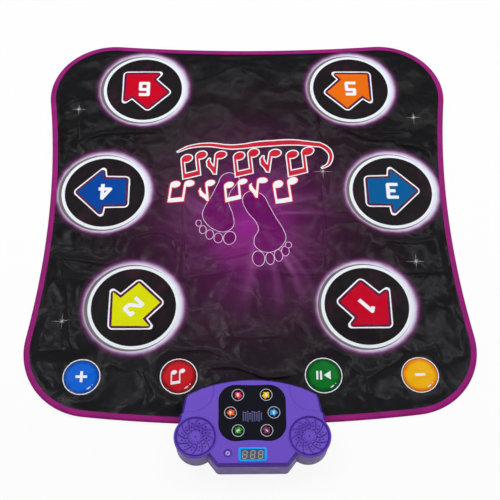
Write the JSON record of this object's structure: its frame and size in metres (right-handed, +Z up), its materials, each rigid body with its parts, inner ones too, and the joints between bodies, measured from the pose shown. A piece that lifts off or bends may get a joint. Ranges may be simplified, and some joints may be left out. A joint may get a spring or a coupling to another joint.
{
  "type": "electronic dance mat",
  "caption": "Soft electronic dance mat with sprung step pads, a row of function pads and a battery console with display and loudspeakers on its front edge.",
  "frame": {"origin": "on the floor, midway between the six step pads, on the mat's underside", "axes": "+Z up, +Y away from the console (the mat's longest side), +X to the right when looking along +Y over the console"},
  "size_m": [0.7932, 0.8976, 0.0535],
  "materials": {
    "base_rubber": "matt anti-slip sheet",
    "circuit_film": "translucent polyester",
    "spacer_foam": "soft foam",
    "cover_cloth": "printed satin cloth",
    "edge_tape": "woven binding tape",
    "pad_cloth": "printed satin cloth",
    "pad_blue": "printed satin cloth",
    "pad_red": "printed satin cloth",
    "pad_green": "printed satin cloth",
    "pad_yellow": "printed satin cloth",
    "console_plastic": "satin moulded",
    "panel_film": "printed overlay film",
    "bezel_cyan": "gloss moulded",
    "display_smoke": "smoked window",
    "clear_resin": "clear lamp resin",
    "plate_steel": "plated",
    "screw_steel": "plated",
    "speaker_steel": "plated",
    "speaker_paper": "pulp cone",
    "board_green": "solder mask",
    "ribbon": "flat flexible tail",
    "foot_rubber": "matt",
    "switch_black": "satin",
    "battery_jacket": "shrink film"
  },
  "bodies": {
    "mat_and_console": {"base_sheet": "base_rubber", "circuit_film": "circuit_film", "spacer_foam": "spacer_foam", "cover_sheet": "cover_cloth", "edge_binding": "edge_tape", "clamp_plate_left": "plate_steel", "clamp_plate_right": "plate_steel", "clamp_screw_1": "screw_steel", "clamp_screw_2": "screw_steel", "clamp_screw_3": "screw_steel", "clamp_screw_4": "screw_steel", "ribbon_cable": "ribbon", "bottom_shell": "console_plastic", "top_shell": "console_plastic", "overlay_panel": "panel_film", "display_bezel": "bezel_cyan", "display_module": "display_smoke", "status_lamp": "clear_resin", "indicator_lamp_1": "clear_resin", "indicator_lamp_2": "clear_resin", "indicator_lamp_3": "clear_resin", "indicator_lamp_4": "clear_resin", "indicator_lamp_5": "clear_resin", "indicator_lamp_6": "clear_resin", "speaker_grille_left": "console_plastic", "speaker_grille_right": "console_plastic", "speaker_left": "speaker_steel", "speaker_right": "speaker_steel", "main_board": "board_green", "board_screw_1": "screw_steel", "board_screw_2": "screw_steel", "shell_screw_1": "screw_steel", "shell_screw_2": "screw_steel", "shell_screw_3": "screw_steel", "shell_screw_4": "screw_steel", "foot_1": "foot_rubber", "foot_2": "foot_rubber", "foot_3": "foot_rubber", "foot_4": "foot_rubber", "power_switch": "switch_black", "battery_cell_1": "battery_jacket", "battery_cell_2": "battery_jacket", "battery_cell_3": "battery_jacket", "battery_contact_left": "plate_steel", "battery_contact_right": "plate_steel"},
    "pad_1": {"step_pad_1": "pad_cloth"},
    "pad_2": {"step_pad_2": "pad_cloth"},
    "pad_3": {"step_pad_3": "pad_cloth"},
    "pad_4": {"step_pad_4": "pad_cloth"},
    "pad_5": {"step_pad_5": "pad_cloth"},
    "pad_6": {"step_pad_6": "pad_cloth"},
    "volume_up": {"volume_up_pad": "pad_blue"},
    "pairing": {"pairing_pad": "pad_red"},
    "mode": {"mode_pad": "pad_green"},
    "volume_down": {"volume_down_pad": "pad_yellow"},
    "cone_left": {"speaker_cone_left": "speaker_paper"},
    "cone_right": {"speaker_cone_right": "speaker_paper"},
    "knob": {"power_knob": "switch_black"},
    "door": {"battery_door": "console_plastic"}
  },
  "joints": [
    {"name": "press_1", "type": "slide", "parent": "mat_and_console", "child": "pad_1", "axis": [0, 0, -1], "range_m": [0, 0.0012], "stiffness_N_per_m": 5000},
    {"name": "press_2", "type": "slide", "parent": "mat_and_console", "child": "pad_2", "axis": [0, 0, -1], "range_m": [0, 0.0012], "stiffness_N_per_m": 5000},
    {"name": "press_3", "type": "slide", "parent": "mat_and_console", "child": "pad_3", "axis": [0, 0, -1], "range_m": [0, 0.0012], "stiffness_N_per_m": 5000},
    {"name": "press_4", "type": "slide", "parent": "mat_and_console", "child": "pad_4", "axis": [0, 0, -1], "range_m": [0, 0.0012], "stiffness_N_per_m": 5000},
    {"name": "press_5", "type": "slide", "parent": "mat_and_console", "child": "pad_5", "axis": [0, 0, -1], "range_m": [0, 0.0012], "stiffness_N_per_m": 5000},
    {"name": "press_6", "type": "slide", "parent": "mat_and_console", "child": "pad_6", "axis": [0, 0, -1], "range_m": [0, 0.0012], "stiffness_N_per_m": 5000},
    {"name": "press_volume_up", "type": "slide", "parent": "mat_and_console", "child": "volume_up", "axis": [0, 0, -1], "range_m": [0, 0.0012], "stiffness_N_per_m": 800},
    {"name": "press_pairing", "type": "slide", "parent": "mat_and_console", "child": "pairing", "axis": [0, 0, -1], "range_m": [0, 0.0012], "stiffness_N_per_m": 800},
    {"name": "press_mode", "type": "slide", "parent": "mat_and_console", "child": "mode", "axis": [0, 0, -1], "range_m": [0, 0.0012], "stiffness_N_per_m": 800},
    {"name": "press_volume_down", "type": "slide", "parent": "mat_and_console", "child": "volume_down", "axis": [0, 0, -1], "range_m": [0, 0.0012], "stiffness_N_per_m": 800},
    {"name": "cone_left_travel", "type": "slide", "parent": "mat_and_console", "child": "cone_left", "axis": [0, 0, 1], "range_m": [-0.0005, 0.0005], "stiffness_N_per_m": 300},
    {"name": "cone_right_travel", "type": "slide", "parent": "mat_and_console", "child": "cone_right", "axis": [0, 0, 1], "range_m": [-0.0005, 0.0005], "stiffness_N_per_m": 300},
    {"name": "power_slide", "type": "slide", "parent": "mat_and_console", "child": "knob", "axis": [0.1325, -0.9912, 0], "range_m": [0, 0.004]},
    {"name": "door_slide", "type": "slide", "parent": "mat_and_console", "child": "door", "axis": [0, -1, 0], "range_m": [0, 0.008]}
  ]
}
